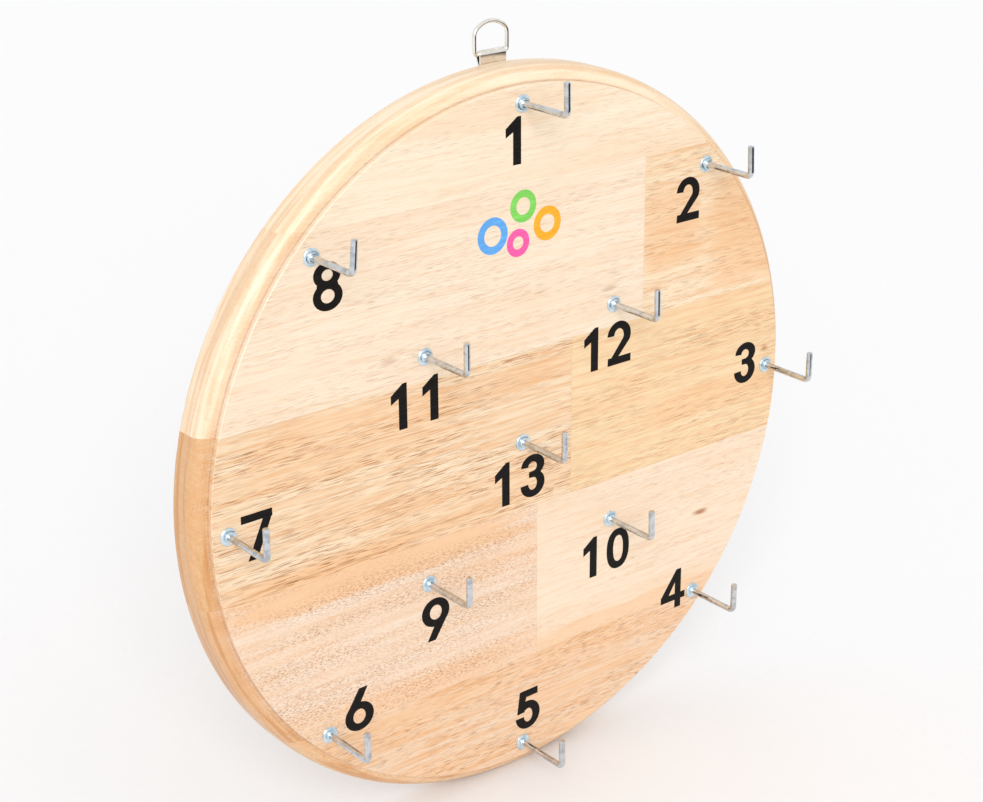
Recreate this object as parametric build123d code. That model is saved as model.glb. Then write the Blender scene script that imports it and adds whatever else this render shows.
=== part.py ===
from build123d import *
from math import cos, radians, sin, sqrt, tan
import os

# Wall-hung hook and ring board. Millimetres, +Z up, +X to the right of someone facing the board.
# The origin is the centre of the board's back face; the face with the hooks looks along -Y.

# Board
board_radius = 175.0
board_thickness = 20.0
roundover_radius = 7.2  # quarter round along the front edge
step_depth = 3.0  # square step between the face and the quarter round
face_ease = 0.4  # sanded corner of the face
back_ease = 2.0  # rounded corner of the back

# Staves, glued edge to edge; some rows are two lengths meeting end to end
stave_width = 78.8
middle_row_height = 5.2  # centreline of the middle row above the board's centre
upper_joint_x = 74.2
middle_joint_x = 29.8
lower_joint_x = 9.0

# Hooks: a wood screw formed on a wire that is bent square
wire_radius = 1.5
arm_length = 30.0  # from the face to the centreline of the upright
upright_length = 14.7  # from the centreline of the arm to the cut end
bend_radius = 2.6  # on the centreline
end_chamfer = 0.25
shank_length = 14.0  # buried in the board
plain_shank_length = 2.5  # before the thread starts
thread_pitch = 1.25
thread_depth = 0.45
point_length = 2.5
hole_end_gap = 0.8  # left empty past the tip of a screw

# Collars pressed on the hooks, seated on the face
collar_radius = 4.0
collar_edge_height = 0.5
collar_dome_height = 1.1
collar_hub_radius = 2.5
collar_hub_top_radius = 2.0
collar_height = 2.0
collar_bulge = 0.15  # by which the dome and the hub swell past straight lines

# Where the hooks stand: one in the centre, a square of four and a ring of eight
outer_circle_radius = 160.0
inner_circle_radius = 78.5
outer_hook_angles = {1: 90, 2: 45, 3: 0, 4: -45, 5: -90, 6: -135, 7: 180, 8: 135}
inner_hook_angles = {9: -135, 10: -45, 11: 135, 12: 45}
centre_hook = 13
# Degrees by which a hook is screwed in past upright, clockwise from the front
hook_turn = {1: -1, 2: -3, 4: 1, 5: -1, 6: -1, 8: 5, 10: -2, 12: -1}

# Hanger: a folded strap on the back that holds a wire D-ring above the rim
ring_wire_radius = 1.0
ring_running_gap = 0.08  # radial, between the ring's bar and the fold
strap_thickness = 0.8
strap_width = 14.5
strap_corner_radius = 3.0
leaf_gap = 0.1  # between the strap's two leaves
strap_foot_length = 6.0  # strap left below the lower screw
bar_height = 3.6  # axis of the ring's bar above the rim
fold_slope = 22.0  # degrees from vertical, where the back leaf comes down to the front one
fold_heel_radius = 1.5
ring_side_gap = 0.9  # between the strap's edge and the ring's leg
ring_foot_radius = 1.6
ring_shoulder_radius = 4.5
ring_crown_radius = 12.0
ring_butt_gap = 0.2  # where the wire's two ends meet, inside the fold

# Screws that hold the strap
screw_radius = 1.5
screw_hole_gap = 0.2
screw_head_radius = 3.0
screw_head_height = 1.9
screw_head_edge_height = 0.6
screw_length = 12.0  # under the head
screw_heel_gap = 0.3  # between the upper head and where the back leaf turns flat
screw_ring_gap = 1.2  # between the upper head and the crown of the ring when it hangs down
screw_lower_gap = 3.3  # the same for the lower head
recess_width = 0.8
recess_length = 3.2
recess_depth = 1.1

# Worked out from the values above
face_y = -board_thickness
face_radius = board_radius - roundover_radius
leaf_middle_y = strap_thickness / 2
fold_radius = ring_wire_radius + ring_running_gap + strap_thickness / 2
bar_y = leaf_middle_y + fold_radius
bar_z = board_radius + bar_height
leg_x = strap_width / 2 + ring_side_gap + ring_wire_radius
back_leaf_y = 3 * leaf_middle_y + leaf_gap
head_seat_y = 2 * strap_thickness + leaf_gap
slope = radians(fold_slope)
fold_end_y = bar_y + fold_radius * cos(slope)
fold_end_z = bar_z - fold_radius * sin(slope)
heel_start_y = back_leaf_y + fold_heel_radius * (1 - cos(slope))
heel_start_z = fold_end_z - (fold_end_y - heel_start_y) / tan(slope)
heel_end_z = heel_start_z - fold_heel_radius * sin(slope)
upper_screw_z = heel_end_z - screw_heel_gap - screw_head_radius
# The crown of the ring, hanging down, just clears the upper head
ring_rise = bar_z - upper_screw_z + screw_head_radius + screw_ring_gap + ring_wire_radius
lower_screw_z = bar_z - ring_rise - ring_wire_radius - screw_head_radius - screw_lower_gap
strap_bottom_z = lower_screw_z - strap_foot_length


def hook_places():
    """Centre (x, z) of every hook on the face, by its number."""
    places = {centre_hook: (0.0, 0.0)}
    for radius, angles in (
        (outer_circle_radius, outer_hook_angles),
        (inner_circle_radius, inner_hook_angles),
    ):
        for number, angle in angles.items():
            places[number] = (radius * cos(radians(angle)), radius * sin(radians(angle)))
    return places


def turned_about_y(profile_edges):
    """Solid of a closed outline in the XY plane turned about the Y axis."""
    return revolve(make_face(profile_edges), Axis.Y, 360)


def thread_outline(start_y, length, radius, direction):
    """Points down the outside of a screw, from start_y to its tip, with ridges for the thread."""
    points = [(radius, start_y), (radius, start_y + direction * plain_shank_length)]
    ridge_count = int((length - point_length - plain_shank_length) / thread_pitch)
    for ridge in range(ridge_count):
        root_depth = plain_shank_length + (ridge + 0.5) * thread_pitch
        crest_depth = plain_shank_length + (ridge + 1) * thread_pitch
        points.append((radius - thread_depth, start_y + direction * root_depth))
        points.append((radius, start_y + direction * crest_depth))
    points.append((radius - thread_depth, start_y + direction * (length - point_length)))
    points.append((0, start_y + direction * length))
    return points


def board_blank():
    """The whole round board, before it is divided into staves and drilled."""
    side_start_y = -back_ease
    side_end_y = face_y + step_depth + roundover_radius
    step_y = face_y + step_depth
    corner = 1 - sqrt(0.5)
    back_line = Line((0, 0), (board_radius - back_ease, 0))
    back_corner = ThreePointArc(
        back_line @ 1,
        (board_radius - back_ease * corner, -back_ease * corner),
        (board_radius, side_start_y),
    )
    side = Line(back_corner @ 1, (board_radius, side_end_y))
    quarter_round = ThreePointArc(
        side @ 1,
        (board_radius - roundover_radius * corner, step_y + roundover_radius * corner),
        (face_radius, step_y),
    )
    front = Polyline(
        quarter_round @ 1,
        (face_radius, face_y + face_ease),
        (face_radius - face_ease, face_y),
        (0, face_y),
        (0, 0),
    )
    return turned_about_y(back_line + back_corner + side + quarter_round + front)


def hole(x, z, mouth_y, radius, depth, direction):
    """Cylinder along Y that starts at mouth_y and runs into the board."""
    middle = Pos(x, mouth_y + direction * depth / 2, z)
    return middle * Rot(90, 0, 0) * Cylinder(radius, depth)


def board_holes():
    """Every hole in the board: thirteen in the face for the hooks, two in the back for the strap."""
    holes = []
    for x, z in hook_places().values():
        holes.append(hole(x, z, face_y, wire_radius, shank_length + hole_end_gap, 1))
    for z in (upper_screw_z, lower_screw_z):
        depth = screw_length - head_seat_y + hole_end_gap
        holes.append(hole(0, z, 0, screw_radius, depth, -1))
    return holes


def stave_bounds():
    """Left, right, bottom and top of each stave, by its name."""
    far = 2 * board_radius
    middle_bottom = middle_row_height - stave_width / 2
    middle_top = middle_row_height + stave_width / 2
    lower_bottom = middle_bottom - stave_width
    upper_top = middle_top + stave_width
    return {
        "stave_top": (-far, far, upper_top, far),
        "stave_upper_left": (-far, upper_joint_x, middle_top, upper_top),
        "stave_upper_right": (upper_joint_x, far, middle_top, upper_top),
        "stave_middle_left": (-far, middle_joint_x, middle_bottom, middle_top),
        "stave_middle_right": (middle_joint_x, far, middle_bottom, middle_top),
        "stave_lower_left": (-far, lower_joint_x, lower_bottom, middle_bottom),
        "stave_lower_right": (lower_joint_x, far, lower_bottom, middle_bottom),
        "stave_bottom": (-far, far, -far, lower_bottom),
    }


def make_staves():
    """The board's staves, each cut out of the blank and drilled."""
    blank = board_blank()
    holes = board_holes()
    staves = {}
    for name, (left, right, bottom, top) in stave_bounds().items():
        middle = Pos((left + right) / 2, -board_thickness / 2, (bottom + top) / 2)
        stave = blank & (middle * Box(right - left, 2 * board_thickness, top - bottom))
        for drilled in holes:
            stave = stave - drilled
        staves[name] = stave
    return staves


def hook_solid():
    """A hook with its arm on the Y axis: screw, arm, square bend and upright."""
    outline = thread_outline(face_y, shank_length, wire_radius, 1)
    screw = turned_about_y(Polyline((0, face_y), *outline, close=True))
    corner_y = face_y - arm_length
    path = FilletPolyline(
        (0, face_y, 0),
        (0, corner_y, 0),
        (0, corner_y, upright_length),
        radius=bend_radius,
    )
    start = Plane(origin=(0, face_y, 0), x_dir=(1, 0, 0), z_dir=(0, -1, 0))
    wire = sweep(start * Circle(wire_radius), path=path)
    wire = chamfer(wire.edges().group_by(Axis.Z)[-1], end_chamfer)
    return screw + wire


def collar_solid():
    """Domed collar round a hook that lies on the Y axis."""
    rim = (collar_radius, face_y - collar_edge_height)
    shoulder = (collar_hub_radius, face_y - collar_dome_height)
    hub_top = (collar_hub_top_radius, face_y - collar_height)
    base = Polyline((wire_radius, face_y), (collar_radius, face_y), rim)
    dome = SagittaArc(rim, shoulder, collar_bulge)
    hub = SagittaArc(shoulder, hub_top, collar_bulge)
    bore = Polyline(hub_top, (wire_radius, face_y - collar_height), (wire_radius, face_y))
    return turned_about_y(base + dome + hub + bore)


def strap_path():
    """Centreline of the strap: up the front leaf, round the ring's bar and down the back leaf."""
    heel_middle_y = back_leaf_y + fold_heel_radius * (1 - cos(slope / 2))
    heel_middle_z = heel_end_z + fold_heel_radius * sin(slope / 2)
    front_leaf = Line((0, leaf_middle_y, strap_bottom_z), (0, leaf_middle_y, bar_z))
    half_turn = radians(90 - fold_slope / 2)
    fold = ThreePointArc(
        front_leaf @ 1,
        (0, bar_y + fold_radius * cos(half_turn), bar_z + fold_radius * sin(half_turn)),
        (0, fold_end_y, fold_end_z),
    )
    slant = Line(fold @ 1, (0, heel_start_y, heel_start_z))
    heel = ThreePointArc(slant @ 1, (0, heel_middle_y, heel_middle_z), (0, back_leaf_y, heel_end_z))
    back_leaf = Line(heel @ 1, (0, back_leaf_y, strap_bottom_z))
    return front_leaf + fold + slant + heel + back_leaf


def strap_solid():
    """The folded strap, its lower corners rounded and its two screw holes through both leaves."""
    start = Plane(origin=(0, leaf_middle_y, strap_bottom_z), x_dir=(1, 0, 0), z_dir=(0, 0, 1))
    strap = sweep(start * Rectangle(strap_width, strap_thickness), path=strap_path())
    lower_corners = strap.edges().filter_by(Axis.Y).group_by(Axis.Z)[0]
    strap = fillet(lower_corners, strap_corner_radius)
    for z in (upper_screw_z, lower_screw_z):
        strap = strap - hole(0, z, 0, screw_radius + screw_hole_gap, head_seat_y, 1)
    return strap


def ring_outline():
    """Centreline of the D-ring, from one end of its wire round to the other, in the plane of the ring."""
    shoulder_x = leg_x - ring_shoulder_radius
    crown_centre_rise = ring_rise - ring_crown_radius
    reach = ring_crown_radius - ring_shoulder_radius
    shoulder_rise = crown_centre_rise + sqrt(reach**2 - shoulder_x**2)
    touch_x = shoulder_x * ring_crown_radius / reach
    touch_rise = crown_centre_rise + (shoulder_rise - crown_centre_rise) * ring_crown_radius / reach
    half_turn = sqrt(((touch_x - shoulder_x) / ring_shoulder_radius + 1) / 2)
    shoulder_middle_x = shoulder_x + ring_shoulder_radius * half_turn
    shoulder_middle_rise = shoulder_rise + ring_shoulder_radius * sqrt(1 - half_turn**2)
    foot = ring_foot_radius * (1 - sqrt(0.5))

    def at(x, rise):
        return (x, bar_y, bar_z + rise)

    pieces = []
    for side in (1, -1):
        pieces.append(Line(at(side * ring_butt_gap / 2, 0), at(side * (leg_x - ring_foot_radius), 0)))
        pieces.append(
            ThreePointArc(
                at(side * (leg_x - ring_foot_radius), 0),
                at(side * (leg_x - foot), foot),
                at(side * leg_x, ring_foot_radius),
            )
        )
        pieces.append(Line(at(side * leg_x, ring_foot_radius), at(side * leg_x, shoulder_rise)))
        pieces.append(
            ThreePointArc(
                at(side * leg_x, shoulder_rise),
                at(side * shoulder_middle_x, shoulder_middle_rise),
                at(side * touch_x, touch_rise),
            )
        )
    pieces.append(ThreePointArc(at(touch_x, touch_rise), at(0, ring_rise), at(-touch_x, touch_rise)))
    return Wire(Curve() + pieces)


def ring_solid():
    """The D-ring's wire."""
    start = Plane(origin=(ring_butt_gap / 2, bar_y, bar_z), x_dir=(0, 1, 0), z_dir=(1, 0, 0))
    return sweep(start * Circle(ring_wire_radius), path=ring_outline())


def strap_screw():
    """Round-headed wood screw through the strap, on the Y axis and pointing into the board."""
    head_top_y = head_seat_y + screw_head_height
    rim = (screw_head_radius, head_seat_y + screw_head_edge_height)
    dome_height = screw_head_height - screw_head_edge_height
    dome_radius = (screw_head_radius**2 + dome_height**2) / (2 * dome_height)
    dome = RadiusArc((0, head_top_y), rim, dome_radius)
    shank_points = thread_outline(head_seat_y, screw_length, screw_radius, -1)
    underside = Polyline(rim, (screw_head_radius, head_seat_y), *shank_points, (0, head_top_y))
    screw = turned_about_y(dome + underside)
    recess_middle = Pos(0, head_top_y - recess_depth / 2, 0)
    for width, height in ((recess_width, recess_length), (recess_length, recess_width)):
        screw = screw - recess_middle * Box(width, recess_depth, height)
    return screw


def named_parts():
    """Every piece of the object, by its node name."""
    pieces = make_staves()
    hook = hook_solid()
    collar = collar_solid()
    for number, (x, z) in sorted(hook_places().items()):
        place = Pos(x, 0, z)
        pieces[f"hook_{number:02d}"] = place * Rot(0, hook_turn.get(number, 0), 0) * hook
        pieces[f"hook_collar_{number:02d}"] = place * collar
    screw = strap_screw()
    pieces["hanger_strap"] = strap_solid()
    pieces["hanger_screw_upper"] = Pos(0, 0, upper_screw_z) * screw
    pieces["hanger_screw_lower"] = Pos(0, 0, lower_screw_z) * screw
    pieces["hanger_d_ring"] = ring_solid()
    return pieces


os.makedirs("parts", exist_ok=True)
for node_name, node_shape in named_parts().items():
    export_step(node_shape, f"parts/{node_name}.step")
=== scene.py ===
from collections import namedtuple
from math import cos, pi, radians, sin

import bpy
from mathutils import Matrix, Vector
from mathutils.geometry import delaunay_2d_cdt


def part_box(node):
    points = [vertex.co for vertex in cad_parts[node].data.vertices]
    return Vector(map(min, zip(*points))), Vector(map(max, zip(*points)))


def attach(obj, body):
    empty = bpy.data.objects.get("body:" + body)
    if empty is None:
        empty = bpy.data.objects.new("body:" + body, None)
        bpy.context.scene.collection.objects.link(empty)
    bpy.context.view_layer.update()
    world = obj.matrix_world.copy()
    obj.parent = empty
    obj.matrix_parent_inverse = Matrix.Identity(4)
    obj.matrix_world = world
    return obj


bl_info = {
    "name": "Hook and Ring Board",
    "version": (1, 0, 0),
    "blender": (4, 5, 0),
    "location": "View3D > Sidebar > Ring Board",
    "description": "Finishes for a wall board with thirteen numbered hooks and a hanging ring",
    "category": "Object",
}

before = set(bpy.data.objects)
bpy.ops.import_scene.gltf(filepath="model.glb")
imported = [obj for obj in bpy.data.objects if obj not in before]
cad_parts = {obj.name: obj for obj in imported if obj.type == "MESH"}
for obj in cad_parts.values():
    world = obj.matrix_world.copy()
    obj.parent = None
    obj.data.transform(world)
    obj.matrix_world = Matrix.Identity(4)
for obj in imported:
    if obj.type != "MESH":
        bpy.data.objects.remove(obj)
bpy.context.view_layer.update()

MM = 0.001
BOARD = "board"

STAVES = (
    "stave_top",
    "stave_upper_left",
    "stave_upper_right",
    "stave_middle_left",
    "stave_middle_right",
    "stave_lower_left",
    "stave_lower_right",
    "stave_bottom",
)
FACE_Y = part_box("stave_top")[0].y
BOARD_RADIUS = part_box("stave_top")[1].z
ROUNDOVER = 7.2 * MM
FACE_RADIUS = BOARD_RADIUS - ROUNDOVER

# Rubberwood: how deep and how frayed a spot is, where the pith lies behind the board, how far the
# growth bands wander and how far apart they are, how far rows of vessels are shifted, how soft a
# pore's edge is and how deep it is against the fibres, and how dark the painted shade at the foot
# of the step is
SPOT_DEPTH = 9 * MM
SPOT_FRAY = 1.6
PITH_Y = 38 * MM
WAVE_DEPTH = 16 * MM
BAND_PITCH = 4.5 * MM
ROW_STAGGER = 28 * MM
PORE_EDGE = 0.05
PORE_DEPTH = 1.5
CORNER_SHADE_STRENGTH = 0.3

# Roughness of bright zinc on wire, of passivated zinc on pressed steel, and of bright nickel
ZINC_ROUGHNESS = 0.14
COLLAR_ROUGHNESS = 0.28
NICKEL_ROUGHNESS = 0.16

# Corners of a printed outline closer than this are one
WELD = 1e-5

# Sockets of the Mix node when it mixes colours
MIX_FACTOR = 0
MIX_FIRST = 6
MIX_SECOND = 7
MIX_RESULT = 2


def linear(hex_colour):
    """Linear red, green, blue and alpha of an sRGB hex colour such as #E9D3B2."""
    channels = []
    for start in (1, 3, 5):
        value = int(hex_colour[start : start + 2], 16) / 255
        if value <= 0.04045:
            channels.append(value / 12.92)
        else:
            channels.append(((value + 0.055) / 1.055) ** 2.4)
    return (*channels, 1.0)


def colour_setting(name, description, hex_colour):
    """A colour that the panel shows."""
    return bpy.props.FloatVectorProperty(
        name=name,
        description=description,
        default=linear(hex_colour),
        subtype="COLOR",
        size=4,
        min=0,
        max=1,
    )


def length_setting(name, description, metres):
    """A length that the panel shows."""
    return bpy.props.FloatProperty(
        name=name, description=description, default=metres, subtype="DISTANCE", unit="LENGTH"
    )


def angle_setting(name, description, degrees):
    """An angle that the panel shows."""
    return bpy.props.FloatProperty(
        name=name, description=description, default=radians(degrees), subtype="ANGLE"
    )


def factor_setting(name, description, value):
    """A number from nought to one that the panel shows."""
    return bpy.props.FloatProperty(
        name=name, description=description, default=value, min=0, max=1, subtype="FACTOR"
    )


def add(tree, kind, inputs, output=0, **settings):
    """Add one node with its settings and links, and give one of its outputs."""
    node = tree.nodes.new(kind)
    for setting, value in settings.items():
        setattr(node, setting, value)
    for socket, value in inputs.items():
        if isinstance(value, bpy.types.NodeSocket):
            tree.links.new(value, node.inputs[socket])
        else:
            node.inputs[socket].default_value = value
    return node.outputs[output]


def new_material(name):
    """An empty node material with its shader."""
    material = bpy.data.materials.new(name)
    material.use_nodes = True
    return material, material.node_tree, material.node_tree.nodes["Principled BSDF"]


def drawn_out_noise(tree, place, size, detail=2.0, roughness=0.5):
    """Noise whose marks have their own size along x, y and z, in metres."""
    scale = [1 / length for length in size]
    scaled = add(tree, "ShaderNodeMapping", {"Vector": place, "Scale": scale})
    inputs = {"Vector": scaled, "Scale": 1.0, "Detail": detail, "Roughness": roughness}
    return add(tree, "ShaderNodeTexNoise", inputs, "Fac")


def layered(tree, colour, layers):
    """A colour with others laid over it, one after another.

    Each layer has its guide, the guide's values where the layer starts and where it is full,
    its strength, which may vary over the surface too, and its own colour."""
    for guide, start, full, strength, tone in layers:
        amount = add(
            tree,
            "ShaderNodeMapRange",
            {"Value": guide, "From Min": start, "From Max": full, "To Max": strength},
            interpolation_type="SMOOTHSTEP",
        )
        colour = add(
            tree,
            "ShaderNodeMix",
            {MIX_FACTOR: amount, MIX_FIRST: colour, MIX_SECOND: tone},
            MIX_RESULT,
            data_type="RGBA",
        )
    return colour


StaveLook = namedtuple(
    "StaveLook",
    "shift figure band streak pore pore_length pore_height pore_cut pith end_grain",
)

# A stave's material while it is made. Place is a point's own place, moved is the same point's
# place in the tree, and parts are its x, y and z
Wood = namedtuple("Wood", "name look settings tree place moved parts")

# How each stave differs: where it comes from in the tree (mm), how strong its broad figure, its
# growth bands, its streaks and its pores are, how long and high its pores are (mm), how rare they
# are, how far above its own centre the tree's pith lies (mm), and how dark its end grain is
STAVE_LOOKS = {
    "stave_top": StaveLook((310, 40, 15), 0.25, 0.06, 0.20, 0.26, 7, 0.26, 0.63, 60, 0.1),
    "stave_upper_left": StaveLook((-820, 90, 230), 0.18, 0.08, 0.26, 0.34, 7, 0.26, 0.62, -75, 0.15),
    "stave_upper_right": StaveLook((1240, 15, -60), 0.30, 0.18, 0.60, 0.50, 8, 0.28, 0.61, 70, 0.4),
    "stave_middle_left": StaveLook((-1730, 70, 95), 0.45, 0.38, 0.66, 0.78, 9, 0.26, 0.60, -62, 1.0),
    "stave_middle_right": StaveLook((2110, -30, 180), 0.40, 0.24, 0.50, 0.62, 8, 0.26, 0.61, 85, 0.5),
    "stave_lower_left": StaveLook((-2600, 120, -210), 0.38, 0.20, 0.28, 0.72, 1.5, 0.34, 0.57, 50, 1.0),
    "stave_lower_right": StaveLook((2950, 60, 330), 0.20, 0.08, 0.26, 0.32, 6, 0.26, 0.62, -70, 0.4),
    "stave_bottom": StaveLook((-3420, -80, -120), 0.50, 0.34, 0.80, 0.75, 6, 0.28, 0.61, 45, 1.0),
}

# Warm patches with frayed ends: x and z of the centre, half length and half height, all in mm,
# and strength
WARM_PATCHES = {
    "stave_upper_right": ((92, 88, 20, 22, 0.5), (95, 70, 22, 6, 0.45), (150, 78, 36, 36, 0.6)),
    "stave_middle_left": ((-95, 26, 62, 16, 0.40), (-115, -30, 52, 4.5, 0.6), (-20, 32, 45, 7, 0.35)),
    "stave_middle_right": ((125, -8, 60, 9, 0.35),),
    "stave_lower_left": ((-85, -40, 90, 8, 0.7), (-60, -108, 60, 7, 0.35)),
    "stave_lower_right": ((70, -112, 75, 9, 0.45),),
    "stave_bottom": ((-10, -122, 120, 6, 0.4),),
}

# Knots and mineral streaks: x and z of the centre, length and height, all in mm, and strength
BLEMISHES = {
    "stave_upper_left": ((53, 64, 6, 2.2, 0.4), (-75, 58, 6, 2.4, 0.35)),
    "stave_middle_left": ((-105, -31, 70, 0.9, 0.45), (-50, -27, 50, 0.7, 0.35)),
    "stave_middle_right": ((159, 9, 3.5, 2.0, 0.75),),
    "stave_lower_right": ((118, -70, 6, 2.0, 0.9),),
    "stave_bottom": ((-15, -122, 3.0, 1.6, 0.6), (40, -153, 5, 1.8, 0.5)),
}


def spot(wood, centre_and_size, frays, squared):
    """How far a point is from a spot's centre on the face: one at its edge, but for the fraying.

    A squared spot has straight sides and full corners."""
    x, z, length, height = centre_and_size
    scaled = add(
        wood.tree,
        "ShaderNodeVectorMath",
        {
            0: wood.place,
            1: (1 / (length * MM), 1 / SPOT_DEPTH, 1 / (height * MM)),
            2: (-x / length, -FACE_Y / SPOT_DEPTH, -z / height),
        },
        operation="MULTIPLY_ADD",
    )
    if squared:
        scaled = add(wood.tree, "ShaderNodeVectorMath", {0: scaled, 1: scaled}, operation="MULTIPLY")
    away = add(wood.tree, "ShaderNodeVectorMath", {0: scaled}, "Value", operation="LENGTH")
    return add(wood.tree, "ShaderNodeMath", {0: frays, 1: SPOT_FRAY, 2: away}, operation="MULTIPLY_ADD")


def seam_lines(name):
    """The axis (0 for x, 2 for z) and place of every glue line of a stave."""
    low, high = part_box(name)
    lines = []
    if name != "stave_top":
        lines.append((2, high.z))
    if name != "stave_bottom":
        lines.append((2, low.z))
    if name.endswith("_left"):
        lines.append((0, high.x))
    if name.endswith("_right"):
        lines.append((0, low.x))
    return lines


def figure_layers(wood):
    """Broad figure a hand's width long, and warm patches with frayed ends."""
    warm = wood.settings.warm_tone[:]
    figure = drawn_out_noise(wood.tree, wood.moved, (170 * MM, 17 * MM, 17 * MM), detail=3.0)
    ends = drawn_out_noise(wood.tree, wood.moved, (30 * MM, 3 * MM, 3 * MM), detail=3.0, roughness=0.7)
    layers = [(figure, 0.38, 0.72, wood.look.figure, warm)]
    for *centre_and_size, strength in WARM_PATCHES.get(wood.name, ()):
        patch = spot(wood, centre_and_size, ends, squared=True)
        layers.append((patch, 1.95, 1.25, strength, warm))
    return layers


def growth_layer(wood):
    """Growth bands: rings about the pith, bent by the tree's own waves."""
    low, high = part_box(wood.name)
    pith_z = (low.z + high.z) / 2 + wood.look.pith * MM
    from_pith = add(
        wood.tree,
        "ShaderNodeVectorMath",
        {0: wood.place, 1: (0.0, 1.0, 1.0), 2: (0.0, -PITH_Y, -pith_z)},
        operation="MULTIPLY_ADD",
    )
    distance = add(wood.tree, "ShaderNodeVectorMath", {0: from_pith}, "Value", operation="LENGTH")
    waves = drawn_out_noise(wood.tree, wood.moved, (240 * MM, 30 * MM, 30 * MM))
    bent = add(
        wood.tree, "ShaderNodeMath", {0: waves, 1: WAVE_DEPTH, 2: distance}, operation="MULTIPLY_ADD"
    )
    turned = add(wood.tree, "ShaderNodeMath", {0: bent, 1: 2 * pi / BAND_PITCH}, operation="MULTIPLY")
    ring = add(wood.tree, "ShaderNodeMath", {0: turned}, operation="SINE")
    return ring, -0.2, 1.0, wood.look.band, wood.settings.band_tone[:]


def streak_layers(wood, fibre):
    """Streaks a few centimetres long, and fibres half a millimetre high between them."""
    streak_size = (32 * MM, 1.5 * MM, 1.5 * MM)
    streak = drawn_out_noise(wood.tree, wood.moved, streak_size, detail=3.0, roughness=0.6)
    fibre_strength = 0.12 + 0.5 * wood.look.streak
    return [
        (streak, 0.46, 0.72, wood.look.streak, wood.settings.streak_tone[:]),
        (fibre, 0.45, 0.75, fibre_strength, wood.settings.fibre_tone[:]),
    ]


def vessels(wood):
    """Noise drawn out along the board, whose peaks are the vessels cut open by the plane.

    Each row of them is shifted along the board by its own amount."""
    row = drawn_out_noise(wood.tree, wood.moved, (200 * MM, 1.6 * MM, 1.6 * MM), detail=1.0)
    staggered = add(
        wood.tree,
        "ShaderNodeVectorMath",
        {0: row, 1: (ROW_STAGGER, 0.0, 0.0), 2: wood.moved},
        operation="MULTIPLY_ADD",
    )
    length = wood.look.pore_length * MM
    height = wood.look.pore_height * MM
    return drawn_out_noise(wood.tree, staggered, (length, height, height), detail=0.0)


def pore_layer(wood, pores):
    """Short brown dashes, crowded in places. They are half as coarse again as real, to show."""
    crowd = drawn_out_noise(wood.tree, wood.moved, (90 * MM, 9 * MM, 9 * MM), detail=1.0)
    crowded = add(
        wood.tree,
        "ShaderNodeMapRange",
        {"Value": crowd, "From Min": 0.25, "From Max": 0.6, "To Max": wood.look.pore},
    )
    cut = wood.look.pore_cut
    return pores, cut, cut + PORE_EDGE, crowded, wood.settings.pore_tone[:]


def knot_layers(wood, fibre):
    """Small knots and mineral streaks, frayed by the fibres."""
    layers = []
    for *centre_and_size, strength in BLEMISHES.get(wood.name, ()):
        mark = spot(wood, centre_and_size, fibre, squared=False)
        layers.append((mark, 1.9, 0.9, strength, wood.settings.knot_tone[:]))
    return layers


def seam_layers(wood):
    """Glue lines where the stave meets its neighbours."""
    settings = wood.settings
    layers = []
    for axis, line in seam_lines(wood.name):
        gap = add(wood.tree, "ShaderNodeMath", {0: wood.parts[axis], 1: line}, operation="SUBTRACT")
        off = add(wood.tree, "ShaderNodeMath", {0: gap}, operation="ABSOLUTE")
        layers.append((off, settings.seam_width, 0.0, settings.seam_strength, settings.pore_tone[:]))
    return layers


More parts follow.
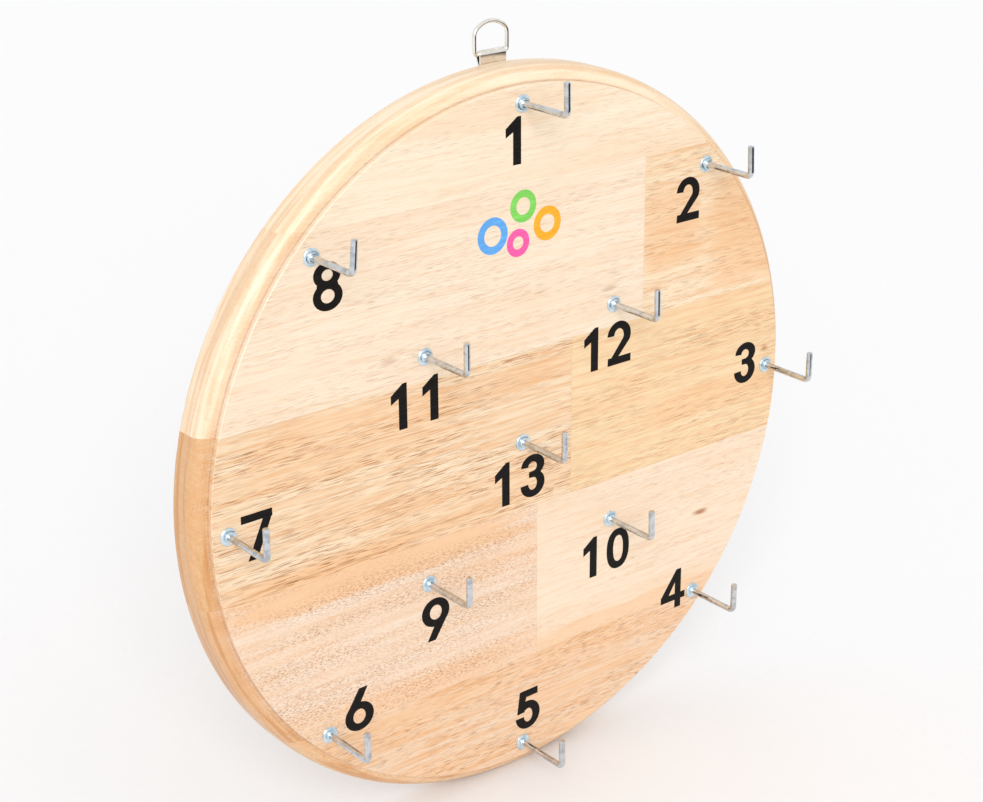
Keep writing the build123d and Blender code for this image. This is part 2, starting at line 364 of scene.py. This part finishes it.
def edge_layers(wood):
    """The routed edge. Lacquer lies thicker there and end grain drinks it, so it is darker, and
    the growth bands show as stripes that run round with it."""
    tree = wood.tree
    settings = wood.settings
    y = wood.parts["Y"]
    flat = add(tree, "ShaderNodeVectorMath", {0: wood.place, 1: (1.0, 0.0, 1.0)}, operation="MULTIPLY")
    radius = add(tree, "ShaderNodeVectorMath", {0: flat}, "Value", operation="LENGTH")
    outside = add(
        tree,
        "ShaderNodeMapRange",
        {"Value": radius, "From Min": FACE_RADIUS + 0.1 * MM, "From Max": FACE_RADIUS + 1.5 * MM},
    )
    edge = add(
        tree,
        "ShaderNodeMapRange",
        {"Value": y, "From Min": -0.2 * MM, "From Max": -1.6 * MM, "To Max": outside},
    )

    # The fibres end at the left and right of the board, and run along the edge at its top
    end_grain = wood.look.end_grain
    sideways = add(tree, "ShaderNodeMath", {0: wood.parts["X"]}, operation="ABSOLUTE")
    fibre_ends = add(
        tree,
        "ShaderNodeMapRange",
        {
            "Value": sideways,
            "From Min": 0.55 * BOARD_RADIUS,
            "From Max": 0.9 * BOARD_RADIUS,
            "To Max": end_grain * 0.5,
        },
    )
    stripe_size = (70 * MM, 2.6 * MM, 70 * MM)
    stripes = drawn_out_noise(tree, wood.moved, stripe_size, detail=3.0, roughness=0.6)
    paleness = 0.6 * (1 - end_grain)
    pale_stripes = add(tree, "ShaderNodeMath", {0: edge, 1: paleness}, operation="MULTIPLY")
    darkness = 0.15 + 0.55 * end_grain
    dark_stripes = add(tree, "ShaderNodeMath", {0: edge, 1: darkness}, operation="MULTIPLY")

    # Painted shade: a dark line in the corner at the foot of the step, where shade falls
    from_corner = add(
        tree, "ShaderNodeMath", {0: radius, 1: FACE_RADIUS + 0.2 * MM}, operation="SUBTRACT"
    )
    corner_gap = add(tree, "ShaderNodeMath", {0: from_corner}, operation="ABSOLUTE")
    corner_shade_fade = add(
        tree,
        "ShaderNodeMapRange",
        {"Value": y, "From Min": FACE_Y + 6 * MM, "From Max": FACE_Y + 4 * MM, "To Max": CORNER_SHADE_STRENGTH},
    )
    painted_corner_shade = add(
        tree,
        "ShaderNodeMapRange",
        {"Value": y, "From Min": FACE_Y + 1.8 * MM, "From Max": FACE_Y + 2.8 * MM, "To Max": corner_shade_fade},
    )
    return [
        (edge, 0.0, 1.0, settings.rim_strength, settings.rim_tone[:]),
        (edge, 0.0, 1.0, fibre_ends, settings.end_grain_tone[:]),
        (stripes, 0.52, 0.38, pale_stripes, settings.sapwood_tone[:]),
        (stripes, 0.48, 0.62, dark_stripes, settings.end_grain_tone[:]),
        # Last comes the painted shade in the corner at the foot of the step
        (corner_gap, 0.7 * MM, 0.1 * MM, painted_corner_shade, settings.knot_tone[:]),
    ]


def rubberwood(name, tone, settings):
    """Clear-lacquered rubberwood, planed and sanded: pale and satin, with warm bands, brown pore
    dashes and a darker routed edge."""
    look = STAVE_LOOKS[name]
    material, tree, shader = new_material(f"lacquered_rubberwood_{name}")
    place = add(tree, "ShaderNodeTexCoord", {}, "Object")
    parts = add(tree, "ShaderNodeSeparateXYZ", {"Vector": place}).node.outputs
    shift = [distance * MM for distance in look.shift]
    moved = add(tree, "ShaderNodeVectorMath", {0: place, 1: shift}, operation="ADD")
    wood = Wood(name, look, settings, tree, place, moved, parts)

    fibre = drawn_out_noise(tree, moved, (16 * MM, 0.55 * MM, 0.55 * MM))
    pores = vessels(wood)
    layers = [
        *figure_layers(wood),
        growth_layer(wood),
        *streak_layers(wood, fibre),
        pore_layer(wood, pores),
        *knot_layers(wood, fibre),
        *seam_layers(wood),
        *edge_layers(wood),
    ]
    tree.links.new(layered(tree, tone, layers), shader.inputs["Base Color"])
    sheen = add(
        tree,
        "ShaderNodeMapRange",
        {"Value": fibre, "From Min": 0.3, "From Max": 0.7, "To Min": 0.36, "To Max": 0.52},
    )
    tree.links.new(sheen, shader.inputs["Roughness"])
    shader.inputs["IOR"].default_value = 1.5
    shader.inputs["Coat Weight"].default_value = settings.lacquer
    shader.inputs["Coat Roughness"].default_value = 0.28
    shader.inputs["Coat IOR"].default_value = 1.5
    sunk = add(tree, "ShaderNodeMath", {0: pores, 1: -PORE_DEPTH, 2: fibre}, operation="MULTIPLY_ADD")
    bump = add(tree, "ShaderNodeBump", {"Height": sunk, "Strength": 0.2, "Distance": 0.05 * MM})
    tree.links.new(bump, shader.inputs["Normal"])
    return material


def plated_steel(name, colour, tarnish, roughness):
    """Bright plating on drawn steel: silvery, cloudy in patches, with a faint grit from the bath."""
    material, tree, shader = new_material(name)
    place = add(tree, "ShaderNodeTexCoord", {}, "Object")
    cloud_size = 2.5 * MM
    cloud = add(
        tree, "ShaderNodeTexNoise", {"Vector": place, "Scale": 1 / cloud_size, "Detail": 3.0}, "Fac"
    )
    tree.links.new(layered(tree, colour, [(cloud, 0.4, 0.7, 1.0, tarnish)]), shader.inputs["Base Color"])
    shader.inputs["Metallic"].default_value = 1.0
    spread = add(
        tree,
        "ShaderNodeMapRange",
        {
            "Value": cloud,
            "From Min": 0.3,
            "From Max": 0.7,
            "To Min": roughness * 0.7,
            "To Max": roughness * 1.3,
        },
    )
    tree.links.new(spread, shader.inputs["Roughness"])
    grit_size = 0.35 * MM
    grit = add(
        tree, "ShaderNodeTexNoise", {"Vector": place, "Scale": 1 / grit_size, "Detail": 2.0}, "Fac"
    )
    bump = add(tree, "ShaderNodeBump", {"Height": grit, "Strength": 0.08, "Distance": 0.02 * MM})
    tree.links.new(bump, shader.inputs["Normal"])
    return material


def screen_ink(name, colour):
    """Screen-printed ink on lacquered wood: nearly opaque, with the grain just showing through."""
    material, tree, shader = new_material(name)
    place = add(tree, "ShaderNodeTexCoord", {}, "Object")
    fibre = drawn_out_noise(tree, place, (12 * MM, 0.6 * MM, 0.6 * MM))
    # Where the ink lies thin it is a quarter lighter, and black turns a shade grey
    thin = tuple(min(1.0, channel * 1.25 + 0.006) for channel in colour[:3]) + (1.0,)
    tint = layered(tree, tuple(colour), [(fibre, 0.45, 0.75, 1.0, thin)])
    tree.links.new(tint, shader.inputs["Base Color"])
    spread = add(
        tree,
        "ShaderNodeMapRange",
        {"Value": fibre, "From Min": 0.3, "From Max": 0.7, "To Min": 0.55, "To Max": 0.7},
    )
    tree.links.new(spread, shader.inputs["Roughness"])
    shader.inputs["IOR"].default_value = 1.4
    shader.inputs["Specular IOR Level"].default_value = 0.25
    bump = add(tree, "ShaderNodeBump", {"Height": fibre, "Strength": 0.2, "Distance": 0.04 * MM})
    tree.links.new(bump, shader.inputs["Normal"])
    return material


def paint(nodes, material):
    """Give CAD nodes a finish in place of the one they were packed with."""
    for name in nodes:
        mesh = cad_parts[name].data
        mesh.materials.clear()
        mesh.materials.append(material)


def band(centre, outer, hole_centre, hole, start, end, steps=48, square=2.0):
    """Quads between an outer and an inner oval, from one angle to another in degrees.

    A square of 2 gives ellipses, and more gives fuller corners."""

    def on_oval(middle, radii, angle):
        x = cos(angle)
        y = sin(angle)
        fullness = 2 / square
        return (
            middle[0] + radii[0] * (abs(x) ** fullness) * (1 if x > 0 else -1),
            middle[1] + radii[1] * (abs(y) ** fullness) * (1 if y > 0 else -1),
        )

    angles = [radians(start + (end - start) * step / steps) for step in range(steps + 1)]
    outside = [on_oval(centre, outer, angle) for angle in angles]
    inside = [on_oval(hole_centre, hole, angle) for angle in angles]
    quads = []
    for step in range(steps):
        quads.append([outside[step], outside[step + 1], inside[step + 1], inside[step]])
    return quads


def half_turn(shapes, width):
    """Shapes turned half round within a width and a height of one."""
    return [[(width - x, 1 - y) for x, y in shape] for shape in shapes]


def digit_shapes():
    """Width and overlapping outlines of every digit, for a height of one."""
    one = [
        [(0, 0.59), (0, 0.78), (0.3, 1), (0.405, 1), (0.405, 0.55), (0.195, 0.55), (0.195, 0.69)],
        [(0.195, 0), (0.405, 0), (0.405, 0.7), (0.195, 0.7)],
    ]
    two = band((0.35, 0.662), (0.345, 0.338), (0.345, 0.662), (0.14, 0.167), 176, -27)
    two.append([(0.657, 0.509), (0.34, 0.18), (0.10, 0.06), (0.03, 0.06), (0.47, 0.586)])
    two.append([(0.02, 0), (0.7, 0), (0.7, 0.18), (0.03, 0.18)])
    three = band((0.348, 0.737), (0.326, 0.263), (0.34, 0.718), (0.12, 0.114), 180, -90)
    three += band((0.342, 0.31), (0.339, 0.31), (0.342, 0.318), (0.12, 0.15), 65, -180)
    three.append([(0.24, 0.468), (0.24, 0.604), (0.34, 0.604), (0.485, 0.591), (0.393, 0.454)])
    four = [
        [(0.446, 0), (0.637, 0), (0.637, 1), (0.487, 1), (0.446, 0.94)],
        [(0, 0.207), (0.771, 0.207), (0.771, 0.373), (0, 0.373)],
        [(0, 0.3), (0.2, 0.3), (0.25, 0.373), (0.446, 0.675), (0.5, 0.8), (0.5, 1), (0.487, 1), (0, 0.36)],
    ]
    five = band((0.338, 0.354), (0.354, 0.354), (0.35, 0.3415), (0.124, 0.172), 185, 490)
    five.append([(0.108, 0.985), (0.63, 1), (0.63, 0.82), (0.24, 0.81)])
    five.append([(0.108, 0.985), (0.298, 0.9), (0.298, 0.81), (0.25, 0.6), (0.25, 0.44), (0.03, 0.43)])
    six = band((0.372, 0.338), (0.369, 0.338), (0.369, 0.34), (0.158, 0.17), 0, 360)
    six.append([(0.379, 1), (0.6, 1), (0.41, 0.66), (0.4, 0.62), (0.25, 0.5), (0.1, 0.42), (0.023, 0.448)])
    seven = [
        [(0, 0.83), (0.726, 0.83), (0.726, 1), (0, 1)],
        [(0.124, 0), (0.34, 0), (0.726, 0.88), (0.6, 0.95), (0.5, 0.83)],
    ]
    eight = band((0.346, 0.735), (0.32, 0.265), (0.352, 0.727), (0.13, 0.114), 0, 360)
    eight += band((0.349, 0.295), (0.349, 0.295), (0.349, 0.298), (0.159, 0.14), 0, 360)
    eight.append([(0.1, 0.46), (0.6, 0.46), (0.6, 0.53), (0.57, 0.6), (0.13, 0.6), (0.095, 0.53)])
    nought = band((0.3415, 0.5), (0.3415, 0.5), (0.348, 0.5), (0.15, 0.325), 0, 360, square=2.3)
    return {
        "0": (0.683, nought),
        "1": (0.405, one),
        "2": (0.7, two),
        "3": (0.681, three),
        "4": (0.771, four),
        "5": (0.692, five),
        "6": (0.741, six),
        "7": (0.726, seven),
        "8": (0.698, eight),
        "9": (0.741, half_turn(six, 0.741)),
    }


def inked(points, triangle, shapes):
    """Whether the middle of a triangle lies in one of the outlines."""
    x, y = sum((points[index] for index in triangle), Vector((0.0, 0.0))) / 3
    for shape in shapes:
        crossings = 0
        for (x0, y0), (x1, y1) in zip(shape, shape[1:] + shape[:1]):
            if (y0 > y) != (y1 > y) and x < x0 + (x1 - x0) * (y - y0) / (y1 - y0):
                crossings += 1
        if crossings % 2:
            return True
    return False


def printed_piece(name, shapes, scale, thickness, material):
    """A thin layer of ink on the face, from overlapping outlines joined into one."""
    corners = []
    outlines = []
    for shape in shapes:
        outlines.append(list(range(len(corners), len(corners) + len(shape))))
        corners += [Vector(corner) for corner in shape]
    points, _, triangles = delaunay_2d_cdt(corners, [], outlines, 0, WELD)[:3]
    triangles = [face for face in triangles if inked(points, face, shapes)]
    used = sorted({index for face in triangles for index in face})
    place = {index: order for order, index in enumerate(used)}
    count = len(used)
    top = [(points[index].x * scale, FACE_Y - thickness, points[index].y * scale) for index in used]
    # The ink soaks a little into the wood, so its back is just below the face
    back = [(x, FACE_Y + thickness / 4, z) for x, y, z in top]
    faces = []
    sides = {}
    for face in triangles:
        ring = [place[index] for index in face]
        faces.append(ring)
        faces.append([index + count for index in reversed(ring)])
        for first, second in zip(ring, ring[1:] + ring[:1]):
            sides[(first, second)] = True
    for first, second in sides:
        if (second, first) not in sides:
            faces.append([second, first, first + count, second + count])
    mesh = bpy.data.meshes.new(name)
    mesh.from_pydata(top + back, [], faces)
    mesh.materials.append(material)
    mesh.validate()
    mesh.update()
    piece = bpy.data.objects.new(name, mesh)
    bpy.context.scene.collection.objects.link(piece)
    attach(piece, BOARD)
    return piece


# Left edge, right edge and foot of every numeral on the face, in mm
NUMERALS = {
    1: (-9.5, -0.5, 133),
    2: (94.5, 110.5, 87),
    3: (138, 153, -6.5),
    4: (91.5, 108, -119.5),
    5: (-4, 12, -153.5),
    6: (-104.5, -88, -117),
    7: (-153.5, -137.5, -14.5),
    8: (-113, -97.5, 88),
    9: (-60, -44, -85.5),
    10: (38.5, 68.5, -84),
    11: (-74.5, -48.5, 24.5),
    12: (37.5, 67, 24.5),
    13: (-16.5, 13.5, -29.5),
}


class BoardSettings(bpy.types.PropertyGroup):
    """Tones and finish of the eight staves."""

    tone_top: colour_setting("Top stave", "Colour of the top stave", "#ECDDC5")
    tone_upper_left: colour_setting("Upper left stave", "Colour of the upper left stave", "#EBDAC3")
    tone_upper_right: colour_setting("Upper right stave", "Colour of the upper right stave", "#EBD6B7")
    tone_middle_left: colour_setting("Middle left stave", "Colour of the middle left stave", "#E8D2B3")
    tone_middle_right: colour_setting("Middle right stave", "Colour of the middle right stave", "#E8CDA4")
    tone_lower_left: colour_setting("Lower left stave", "Colour of the lower left stave", "#E6D0BA")
    tone_lower_right: colour_setting("Lower right stave", "Colour of the lower right stave", "#E8D4BC")
    tone_bottom: colour_setting("Bottom stave", "Colour of the bottom stave", "#E1C8AE")
    warm_tone: colour_setting("Warm patches", "Colour of the broad warm patches", "#E6B482")
    band_tone: colour_setting("Growth bands", "Colour of the growth bands", "#DFB080")
    end_grain_tone: colour_setting("End grain", "Colour of the edge where the fibres end", "#C0813F")
    streak_tone: colour_setting("Streaks", "Colour of the longer streaks", "#DBA36E")
    fibre_tone: colour_setting("Fibres", "Colour of the fine streaks", "#DCAB7A")
    pore_tone: colour_setting("Pores", "Colour of the open vessels and the glue lines", "#9C5F2B")
    # Knots are the wood's own colour; the same colour in the step's corner is painted shade
    knot_tone: colour_setting("Knots", "Colour of small knots and of the step's corner", "#A4642C")
    rim_tone: colour_setting("Routed edge", "Colour of the edge where the lacquer is thick", "#E8C08C")
    sapwood_tone: colour_setting("Sapwood", "Colour of the pale stripes on the edge", "#F3E3CB")
    rim_strength: factor_setting("Edge darkening", "How much the routed edge is darker", 0.35)
    seam_width: length_setting("Glue line", "Half the width that a glue line shows", 0.4 * MM)
    seam_strength: factor_setting("Glue line strength", "How dark a glue line is", 0.07)
    lacquer: factor_setting("Lacquer", "How much clear coat lies on the wood", 0.3)


class MetalSettings(bpy.types.PropertyGroup):
    """Platings of the hooks and the hanger."""

    zinc: colour_setting("Zinc", "Colour of the hooks", "#D2D7DC")
    zinc_cloud: colour_setting("Zinc bloom", "Colour of the cloudy patches on the hooks", "#B2B8BE")
    collar: colour_setting("Collars", "Colour of the collars", "#D8E8F2")
    collar_cloud: colour_setting("Collar bloom", "Colour of the patches on the collars", "#BAD2E1")
    nickel: colour_setting("Nickel", "Colour of the strap and the ring", "#F3EFE8")
    nickel_cloud: colour_setting("Nickel bloom", "Colour of the dull patches on them", "#E6E2DA")


class PrintSettings(bpy.types.PropertyGroup):
    """Numerals and ornament printed on the face."""

    numeral_height: length_setting("Numeral height", "Height of a numeral", 21.6 * MM)
    ink_thickness: length_setting("Ink thickness", "How far the ink stands off the face", 0.04 * MM)
    black: colour_setting("Black ink", "Colour of the numerals", "#0B0705")
    blue: colour_setting("Blue ink", "Colour of the first hoop", "#5B9BD9")
    pink: colour_setting("Pink ink", "Colour of the second hoop", "#E4579B")
    orange: colour_setting("Orange ink", "Colour of the third hoop", "#F3A128")
    green: colour_setting("Green ink", "Colour of the fourth hoop", "#77C257")


class StageSettings(bpy.types.PropertyGroup):
    """Floor, light and camera."""

    floor: colour_setting("Floor", "Colour of the floor", "#ECECED")
    key_strength: bpy.props.FloatProperty(
        name="Key light", description="Strength of the large soft light", default=1.6
    )
    sky_strength: bpy.props.FloatProperty(
        name="Surrounding light", description="Strength of the light from all round", default=0.9
    )
    azimuth: angle_setting("Azimuth", "Camera's angle round the board", -38.72)
    elevation: angle_setting("Elevation", "Camera's angle above level", 21.76)
    roll: angle_setting("Roll", "Camera's tilt about its own axis", -0.348)
    distance: length_setting("Distance", "From the camera to the point it looks at", 0.9604)
    lens: bpy.props.FloatProperty(
        name="Lens", description="Focal length in millimetres on a 36 mm sensor", default=75.85
    )


# Stage, in metres: how far the floor reaches, two corners of the dark card and its height over the
# floor, where the light comes from and how wide it looks, and the point that the camera faces
FLOOR_REACH = 12.0
CARD_LEFT_FRONT = (-0.1, -3.0)
CARD_RIGHT_BACK = (3.0, -0.5)
CARD_LIFT = 2 * MM
KEY_DIRECTION = Vector((-0.62, -0.85, 0.6))
KEY_SPREAD = radians(35)
AIM = Vector((-6.67, -5.56, 17.77)) * MM


def paper_roll(colour):
    """Matt white paper roll: an even ground with the faintest tooth, which takes soft shadows."""
    material, tree, shader = new_material("matt_paper_floor")
    place = add(tree, "ShaderNodeTexCoord", {}, "Object")
    tooth_size = 3 * MM
    tooth = add(
        tree, "ShaderNodeTexNoise", {"Vector": place, "Scale": 1 / tooth_size, "Detail": 2.0}, "Fac"
    )
    paler = tuple(min(1.0, channel * 1.02) for channel in colour[:3]) + (1.0,)
    tint = layered(tree, tuple(colour), [(tooth, 0.0, 1.0, 1.0, paler)])
    tree.links.new(tint, shader.inputs["Base Color"])
    shader.inputs["Roughness"].default_value = 0.9
    shader.inputs["Specular IOR Level"].default_value = 0.2
    return material


def black_flock():
    """Black flocked card: no sheen, so it shows in metal as a plain dark strip."""
    material, _, shader = new_material("black_flock_card")
    shader.inputs["Base Color"].default_value = linear("#101010")
    shader.inputs["Roughness"].default_value = 1.0
    return material


def lying_sheet(name, left_front, right_back, z, material):
    """A level rectangle from one corner to the other."""
    left, front = left_front
    right, back = right_back
    corners = [(left, front, z), (right, front, z), (right, back, z), (left, back, z)]
    mesh = bpy.data.meshes.new(name)
    mesh.from_pydata(corners, [], [(0, 1, 2, 3)])
    mesh.materials.append(material)
    sheet = bpy.data.objects.new(name, mesh)
    bpy.context.scene.collection.objects.link(sheet)
    return sheet


def light_stage(scene, settings):
    """An even white room, and one large soft light from above on the left."""
    world = bpy.data.worlds.new("soft_white_room")
    world.use_nodes = True
    sky = world.node_tree.nodes["Background"]
    sky.inputs["Color"].default_value = (1.0, 1.0, 1.0, 1.0)
    sky.inputs["Strength"].default_value = settings.sky_strength
    scene.world = world

    key = bpy.data.lights.new("key_softbox", "SUN")
    key.energy = settings.key_strength
    key.angle = KEY_SPREAD
    key_object = bpy.data.objects.new("key_softbox", key)
    key_object.location = KEY_DIRECTION
    key_object.rotation_euler = KEY_DIRECTION.to_track_quat("Z", "Y").to_euler()
    scene.collection.objects.link(key_object)


def place_camera(scene, settings):
    """A camera that faces the aim from its azimuth, elevation and distance."""
    camera = bpy.data.cameras.new("camera")
    camera.sensor_fit = "HORIZONTAL"
    camera.sensor_width = 36.0
    camera.lens = settings.lens
    camera.clip_start = 0.01
    camera.clip_end = 100.0
    camera_object = bpy.data.objects.new("camera", camera)
    across = cos(settings.elevation)
    towards = Vector(
        (sin(settings.azimuth) * across, -cos(settings.azimuth) * across, sin(settings.elevation))
    )
    turn = towards.to_track_quat("Z", "Y").to_matrix().to_4x4()
    roll = Matrix.Rotation(settings.roll, 4, "Z")
    camera_object.matrix_world = Matrix.Translation(AIM + towards * settings.distance) @ turn @ roll
    scene.collection.objects.link(camera_object)
    scene.camera = camera_object


class RINGBOARD_OT_stage(bpy.types.Operator):
    """Floor, soft light and camera"""

    bl_idname = "ringboard.stage"
    bl_label = "Stage"

    def execute(self, context):
        scene = context.scene
        settings = scene.ringboard_stage
        scene.view_settings.view_transform = "Standard"

        floor_z = -BOARD_RADIUS
        left_front = (-FLOOR_REACH, -FLOOR_REACH)
        right_back = (FLOOR_REACH, FLOOR_REACH)
        floor = lying_sheet("floor", left_front, right_back, floor_z, paper_roll(settings.floor))

        # A dark card on the floor in front, seen only in reflections: it gives metal its dark strips
        card_z = floor_z + CARD_LIFT
        card = lying_sheet("dark_card", CARD_LEFT_FRONT, CARD_RIGHT_BACK, card_z, black_flock())
        card.visible_camera = False
        card.visible_diffuse = False
        card.visible_shadow = False

        light_stage(scene, settings)
        place_camera(scene, settings)
        return {"FINISHED"}


class RINGBOARD_OT_staves(bpy.types.Operator):
    """Lacquered rubberwood on the eight staves"""

    bl_idname = "ringboard.staves"
    bl_label = "Staves"

    def execute(self, context):
        settings = context.scene.ringboard_board
        for name in STAVES:
            tone = getattr(settings, name.replace("stave_", "tone_"))
            paint([name], rubberwood(name, tuple(tone), settings))
        return {"FINISHED"}


class RINGBOARD_OT_hooks(bpy.types.Operator):
    """Zinc on the hooks and their collars"""

    bl_idname = "ringboard.hooks"
    bl_label = "Hooks and collars"

    def execute(self, context):
        settings = context.scene.ringboard_metal
        # Bright zinc on drawn wire: cool silver, smooth enough for sharp light and dark strips
        wire = plated_steel(
            "zinc_plated_wire", settings.zinc[:], settings.zinc_cloud[:], ZINC_ROUGHNESS
        )
        paint([f"hook_{number:02d}" for number in NUMERALS], wire)
        # Blue-passivated zinc on pressed steel: duller, with an icy blue cast
        pressed = plated_steel(
            "blue_passivated_zinc", settings.collar[:], settings.collar_cloud[:], COLLAR_ROUGHNESS
        )
        paint([f"hook_collar_{number:02d}" for number in NUMERALS], pressed)
        return {"FINISHED"}


class RINGBOARD_OT_hanger(bpy.types.Operator):
    """Nickel on the strap, the ring and the two screws"""

    bl_idname = "ringboard.hanger"
    bl_label = "Hanger"

    def execute(self, context):
        settings = context.scene.ringboard_metal
        # Bright nickel on folded strip and bent wire: whiter and warmer than zinc
        nickel = plated_steel(
            "nickel_plated_steel", settings.nickel[:], settings.nickel_cloud[:], NICKEL_ROUGHNESS
        )
        paint(["hanger_strap", "hanger_d_ring", "hanger_screw_upper", "hanger_screw_lower"], nickel)
        return {"FINISHED"}


class RINGBOARD_OT_numerals(bpy.types.Operator):
    """Black numerals from 1 to 13"""

    bl_idname = "ringboard.numerals"
    bl_label = "Numerals"

    def execute(self, context):
        settings = context.scene.ringboard_print
        height = settings.numeral_height
        # Soft black ink, not quite jet, with the fibres faint in it
        ink = screen_ink("black_screen_ink", settings.black)
        digits = digit_shapes()
        for number, (left, right, foot) in NUMERALS.items():
            shapes = []
            for order, character in enumerate(str(number)):
                width, outlines = digits[character]
                start = left * MM / height
                if order == 1:
                    start = right * MM / height - width
                for outline in outlines:
                    shapes.append([(start + x, foot * MM / height + y) for x, y in outline])
            printed_piece(f"numeral_{number:02d}", shapes, height, settings.ink_thickness, ink)
        return {"FINISHED"}


# Hoops of the ornament: colour, x and z of the centre, outer and inner radius, all in mm
HOOPS = (
    ("blue", -17, 103, 8.5, 4.8),
    ("pink", -2.5, 97, 6.5, 3.0),
    ("green", 0.5, 113.5, 7.5, 4.0),
    ("orange", 14.5, 103, 8.0, 4.2),
)


class RINGBOARD_OT_ornament(bpy.types.Operator):
    """Four coloured hoops printed above the centre"""

    bl_idname = "ringboard.ornament"
    bl_label = "Ornament"

    def execute(self, context):
        settings = context.scene.ringboard_print
        for colour, x, z, outer, inner in HOOPS:
            hoop = band((x, z), (outer, outer), (x, z), (inner, inner), 0, 360)
            # Clear, flat spot colour, a little uneven along the grain
            ink = screen_ink(f"{colour}_screen_ink", getattr(settings, colour))
            printed_piece(f"printed_hoop_{colour}", hoop, MM, settings.ink_thickness, ink)
        return {"FINISHED"}


class RINGBOARD_PT_panel(bpy.types.Panel):
    """The board's finishes in the sidebar"""

    bl_idname = "RINGBOARD_PT_panel"
    bl_label = "Hook and Ring Board"
    bl_space_type = "VIEW_3D"
    bl_region_type = "UI"
    bl_category = "Ring Board"

    def draw(self, context):
        for group_name, _ in SETTINGS:
            group = getattr(context.scene, group_name)
            box = self.layout.box()
            for setting in group.__annotations__:
                box.prop(group, setting)
        for operator in OPERATORS:
            self.layout.operator(operator.bl_idname)


SETTINGS = (
    ("ringboard_stage", StageSettings),
    ("ringboard_board", BoardSettings),
    ("ringboard_metal", MetalSettings),
    ("ringboard_print", PrintSettings),
)
OPERATORS = (
    RINGBOARD_OT_stage,
    RINGBOARD_OT_staves,
    RINGBOARD_OT_hooks,
    RINGBOARD_OT_hanger,
    RINGBOARD_OT_numerals,
    RINGBOARD_OT_ornament,
)


def register():
    """Add the settings, the operators and the panel."""
    for name, group in SETTINGS:
        bpy.utils.register_class(group)
        setattr(bpy.types.Scene, name, bpy.props.PointerProperty(type=group))
    for operator in OPERATORS:
        bpy.utils.register_class(operator)
    bpy.utils.register_class(RINGBOARD_PT_panel)


def unregister():
    """Take them away again."""
    bpy.utils.unregister_class(RINGBOARD_PT_panel)
    for operator in reversed(OPERATORS):
        bpy.utils.unregister_class(operator)
    for name, group in reversed(SETTINGS):
        delattr(bpy.types.Scene, name)
        bpy.utils.unregister_class(group)


def main():
    """Build the whole scene."""
    register()
    bpy.ops.ringboard.stage()
    bpy.ops.ringboard.staves()
    bpy.ops.ringboard.hooks()
    bpy.ops.ringboard.hanger()
    bpy.ops.ringboard.numerals()
    bpy.ops.ringboard.ornament()


if __name__ == "__main__":
    main()
